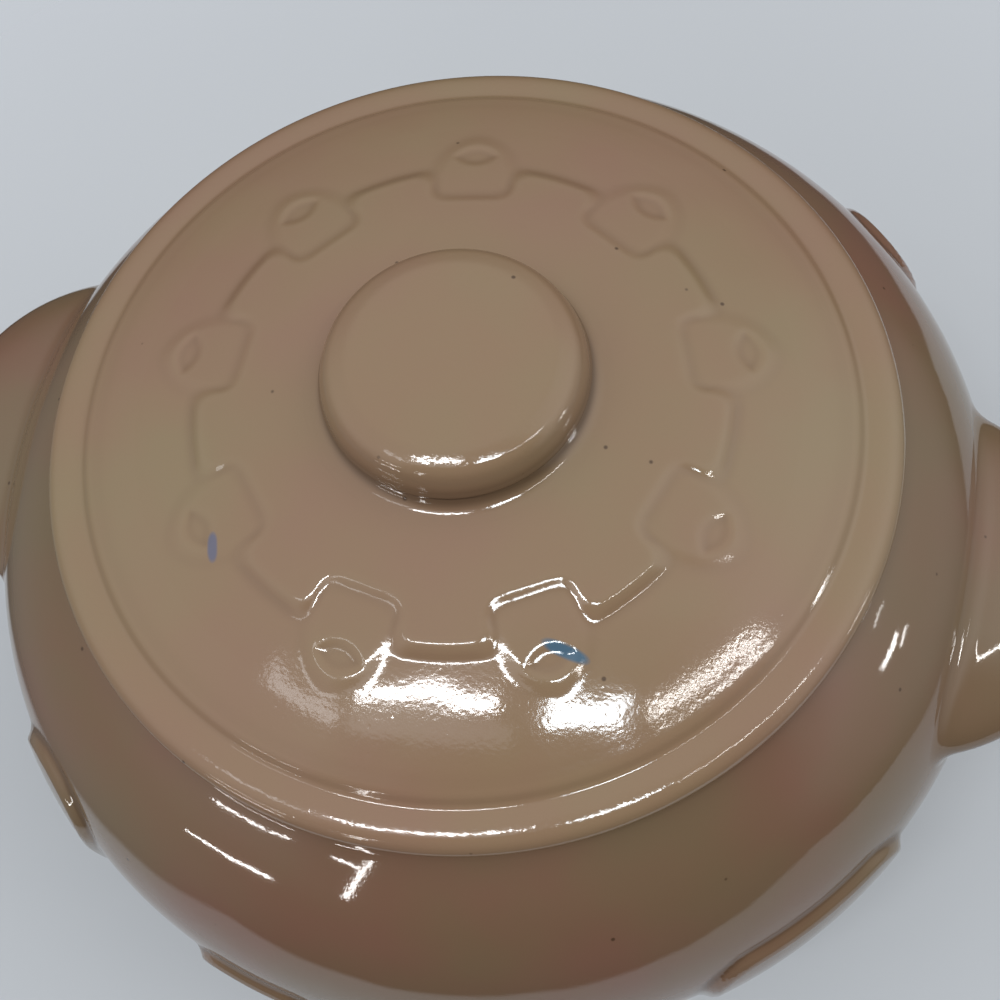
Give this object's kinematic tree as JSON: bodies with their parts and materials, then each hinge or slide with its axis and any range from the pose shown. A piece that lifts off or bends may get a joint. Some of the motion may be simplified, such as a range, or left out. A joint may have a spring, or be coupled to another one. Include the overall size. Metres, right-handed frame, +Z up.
{
  "type": "cookie jar",
  "caption": "Round-bellied stoneware jar with two lug handles, a row of raised panels on each side of the belly, and a domed lid with a relief ring and a disc knob that lifts off.",
  "frame": {"origin": "middle of the foot ring, on the table under it", "axes": "+Z up, +X from the jar's axis through the middle of the right handle, +Y away from the user"},
  "size_m": [0.29, 0.2534, 0.185],
  "materials": {
    "jar_glaze": "glossy clear brown glaze over grey-brown stoneware, unglazed on the foot ring",
    "lid_glaze": "glossy clear brown glaze over grey-brown stoneware, with sparse iron specks"
  },
  "bodies": {
    "jar": {"jar_body": "jar_glaze", "right_handle": "jar_glaze", "left_handle": "jar_glaze"},
    "lid": {"lid": "lid_glaze", "lid_knob": "lid_glaze"}
  },
  "joints": [
    {"name": "lid_lift", "type": "slide", "parent": "jar", "child": "lid", "axis": [0, 0, 1], "range_m": [0, 0.12]}
  ]
}
